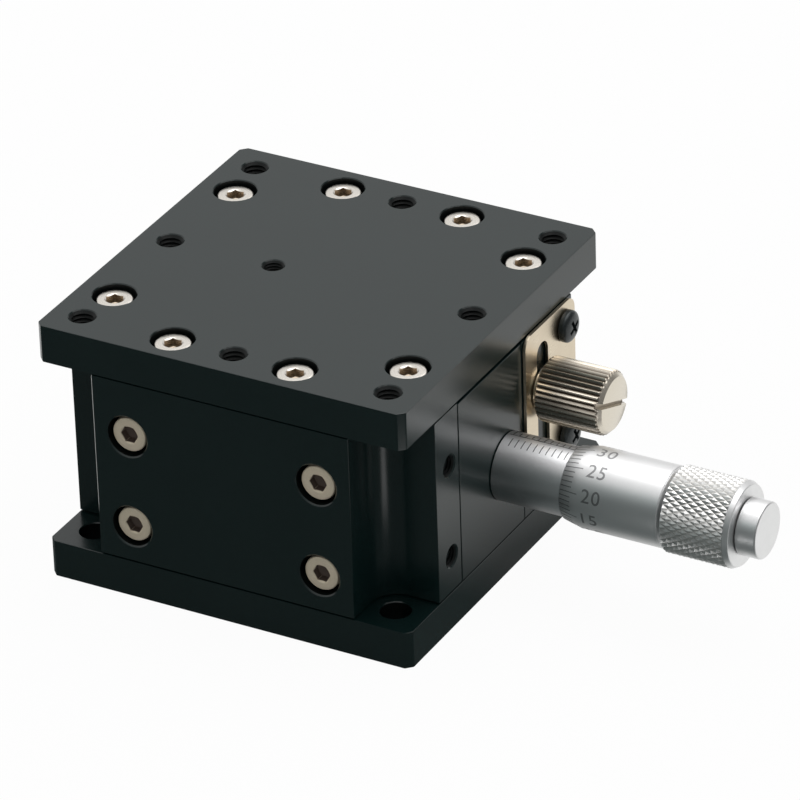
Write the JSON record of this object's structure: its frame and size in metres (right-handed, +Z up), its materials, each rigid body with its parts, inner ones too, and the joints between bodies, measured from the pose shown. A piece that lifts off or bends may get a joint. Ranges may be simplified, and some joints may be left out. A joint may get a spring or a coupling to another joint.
{
  "type": "micrometer lift stage",
  "caption": "Compact lifting stage: a side micrometer drives a wedge that raises a square table on crossed rollers, with a clamp knob beside it.",
  "frame": {"origin": "centre of the base plate's underside, with the table at its lowest position", "axes": "+X towards the micrometer's thimble, -Y the side with four screws, +Z up, the way the table lifts"},
  "size_m": [0.1019, 0.06, 0.042],
  "materials": {
    "black_anodised": "black anodised, satin",
    "bright_steel": "bright steel",
    "warm_nickel": "bright nickel",
    "black_steel": "black oxide",
    "satin_chrome": "satin chrome",
    "pale_plate": "pale nickel sheet",
    "ground_steel": "ground steel",
    "brass": "plain brass"
  },
  "bodies": {
    "base": {"base_plate": "black_anodised", "base_screw_1": "black_steel", "base_screw_2": "black_steel", "base_screw_3": "black_steel", "base_screw_4": "black_steel", "centre_block": "black_anodised", "clamp_bar": "black_anodised", "wedge_track": "ground_steel", "track_screw_1": "black_steel", "track_screw_2": "black_steel", "inner_rail_left": "ground_steel", "inner_rail_right": "ground_steel", "inner_rail_screw_1": "black_steel", "inner_rail_screw_2": "black_steel", "inner_rail_screw_3": "black_steel", "inner_rail_screw_4": "black_steel", "micrometer_sleeve": "satin_chrome", "micrometer_lock_screw": "black_steel", "base_stud_front": "brass", "base_stud_rear": "brass", "return_spring_front": "bright_steel", "return_spring_rear": "bright_steel"},
    "table": {"top_plate": "black_anodised", "top_screw_1": "bright_steel", "top_screw_2": "bright_steel", "top_screw_3": "bright_steel", "top_screw_4": "bright_steel", "top_screw_5": "bright_steel", "top_screw_6": "bright_steel", "top_screw_7": "bright_steel", "top_screw_8": "bright_steel", "front_block": "black_anodised", "rear_block": "black_anodised", "front_screw_1": "warm_nickel", "front_screw_2": "warm_nickel", "front_screw_3": "warm_nickel", "front_screw_4": "warm_nickel", "outer_rail_left": "ground_steel", "outer_rail_right": "ground_steel", "preload_screw_1": "black_steel", "preload_screw_2": "black_steel", "follower_bracket": "ground_steel", "bracket_screw_1": "black_steel", "bracket_screw_2": "black_steel", "follower_axle": "bright_steel", "clamp_plate": "pale_plate", "pan_screw_1": "black_steel", "pan_screw_2": "black_steel", "table_stud_front": "brass", "table_stud_rear": "brass"},
    "cage_left": {"roller_cage_left": "brass"},
    "cage_right": {"roller_cage_right": "brass"},
    "follower": {"follower_roller": "bright_steel"},
    "wedge": {"wedge": "ground_steel"},
    "spindle": {"spindle": "bright_steel"},
    "thimble": {"thimble": "satin_chrome", "thimble_cap": "satin_chrome"},
    "knob": {"clamp_knob": "warm_nickel"}
  },
  "joints": [
    {"name": "spindle_advance", "type": "slide", "parent": "base", "child": "spindle", "axis": [-1, 0, 0], "range_m": [0, 0.01]},
    {"name": "thimble_turn", "type": "hinge", "parent": "spindle", "child": "thimble", "pos_m": [0.0413, 0, 0.018], "axis": [-1, 0, 0], "range_deg": [0, 7200]},
    {"name": "wedge_slide", "type": "slide", "parent": "base", "child": "wedge", "axis": [-1, 0, 0], "range_m": [0, 0.01]},
    {"name": "table_lift", "type": "slide", "parent": "base", "child": "table", "axis": [0, 0, 1], "range_m": [0, 0.005], "deforming": ["return_spring_front", "return_spring_rear"]},
    {"name": "cage_slide_left", "type": "slide", "parent": "base", "child": "cage_left", "axis": [0, 0, 1], "range_m": [0, 0.0025]},
    {"name": "cage_slide_right", "type": "slide", "parent": "base", "child": "cage_right", "axis": [0, 0, 1], "range_m": [0, 0.0025]},
    {"name": "follower_turn", "type": "hinge", "parent": "table", "child": "follower", "pos_m": [0, 0, 0.0185], "axis": [0, 1, 0], "range_deg": [0, 184]},
    {"name": "clamp_knob_turn", "type": "hinge", "parent": "base", "child": "knob", "pos_m": [0.0308, 0.01057, 0.0258], "axis": [1, 0, 0], "range_deg": [0, 180]}
  ],
  "couplings": [
    {"joint": "spindle_advance", "follows": "table_lift", "ratio": 2},
    {"joint": "wedge_slide", "follows": "table_lift", "ratio": 2},
    {"joint": "thimble_turn", "follows": "table_lift", "rad_per_m": 25133},
    {"joint": "cage_slide_left", "follows": "table_lift", "ratio": 0.5},
    {"joint": "cage_slide_right", "follows": "table_lift", "ratio": 0.5},
    {"joint": "follower_turn", "follows": "table_lift", "rad_per_m": 638.88}
  ]
}
